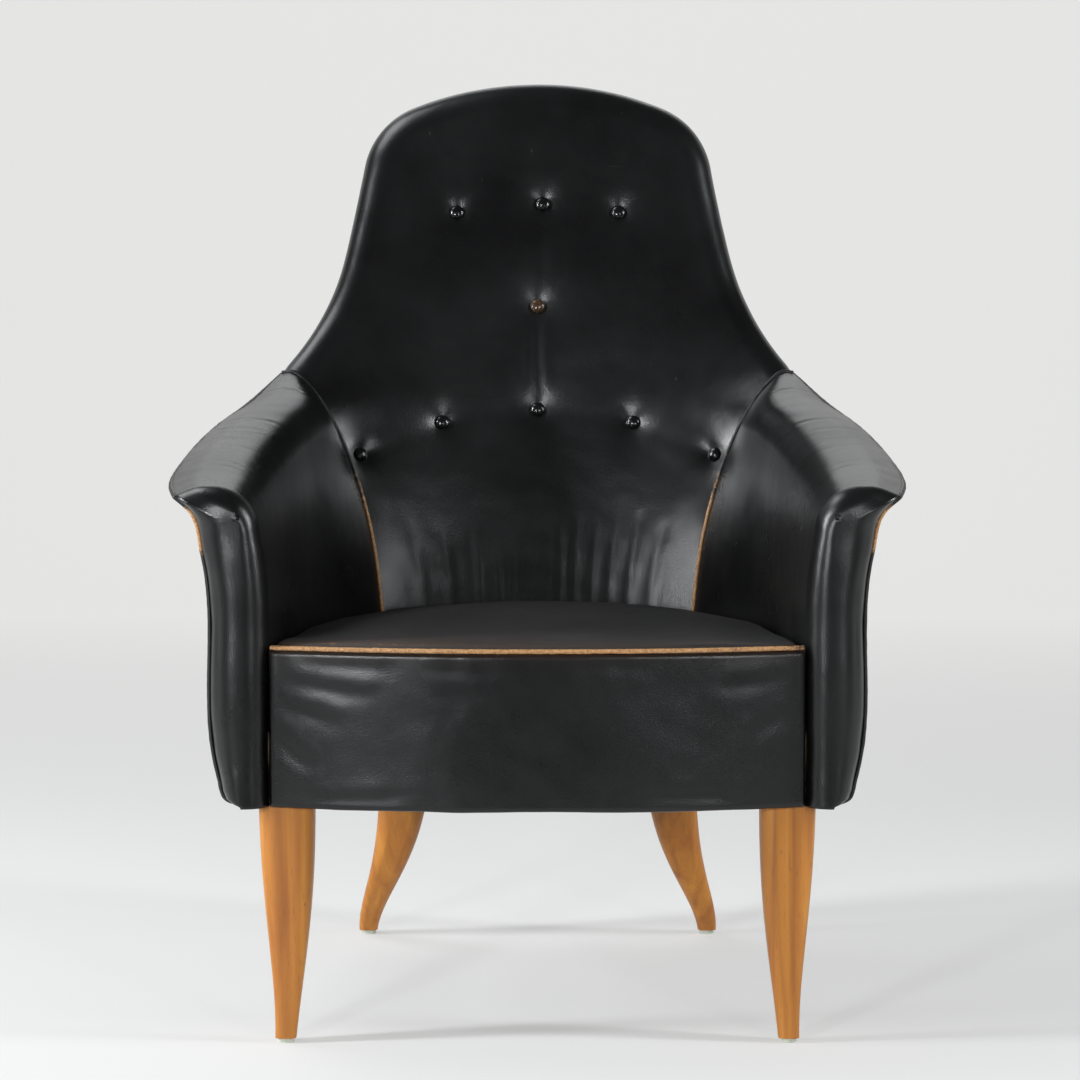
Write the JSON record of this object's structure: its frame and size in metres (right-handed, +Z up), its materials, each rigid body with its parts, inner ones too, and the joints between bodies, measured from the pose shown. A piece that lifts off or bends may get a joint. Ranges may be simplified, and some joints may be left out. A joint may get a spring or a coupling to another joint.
{
  "type": "lounge chair",
  "caption": "Tall domed easy chair with rolled arms, tight seat and buttoned back in leather, full-height apron, and bolted tapered wooden legs.",
  "frame": {"origin": "on the floor, midway between the sides and midway between front and rear of the bounding box", "axes": "+X to the chair's left arm seen from behind and to the viewer's right from the front, +Y from the front to the back, +Z up"},
  "size_m": [0.7788, 0.7991, 1.02],
  "materials": {
    "leather": "soft sheen, finely grained",
    "piping": "worn leather piping",
    "padding": "matt foam and hair padding",
    "leg_wood": "honey-coloured, low sheen",
    "frame_wood": "bare beech",
    "webbing": "woven jute",
    "twine": "waxed twine",
    "dust_cloth": "plain black cloth",
    "steel": "plain zinc-plated",
    "glide_plastic": "matt, pale grey-green"
  },
  "bodies": {
    "root": {"apron_cover": "leather", "apron_padding": "padding", "arm_cover_left": "leather", "arm_cover_right": "leather", "arm_edge_welt_left": "piping", "arm_edge_welt_right": "piping", "arm_foam_left": "padding", "arm_foam_right": "padding", "arm_post_left": "frame_wood", "arm_post_right": "frame_wood", "arm_rail_left": "frame_wood", "arm_rail_right": "frame_wood", "back_buttons": "leather", "back_cover": "leather", "back_edge_welt": "piping", "back_foam": "padding", "back_post_left": "frame_wood", "back_post_right": "frame_wood", "back_rail": "frame_wood", "back_webbing": "webbing", "block_screws": "steel", "button_ties": "twine", "corner_blocks": "frame_wood", "crest_rail": "frame_wood", "dust_cover": "dust_cloth", "foot_glides": "glide_plastic", "frame_dowels": "frame_wood", "front_rail": "frame_wood", "glide_nails": "steel", "leg_back_left": "leg_wood", "leg_back_right": "leg_wood", "leg_bolts": "steel", "leg_front_left": "leg_wood", "leg_front_right": "leg_wood", "outside_arm_left": "leather", "outside_arm_right": "leather", "outside_back": "leather", "seam_welt_left": "piping", "seam_welt_right": "piping", "seat_cover": "leather", "seat_foam": "padding", "seat_front_welt": "piping", "seat_webbing_crosswise": "webbing", "seat_webbing_lengthwise": "webbing", "side_rail_left": "frame_wood", "side_rail_right": "frame_wood", "tie_toggles": "frame_wood", "waist_rail": "frame_wood", "webbing_tacks": "steel"}
  },
  "joints": []
}
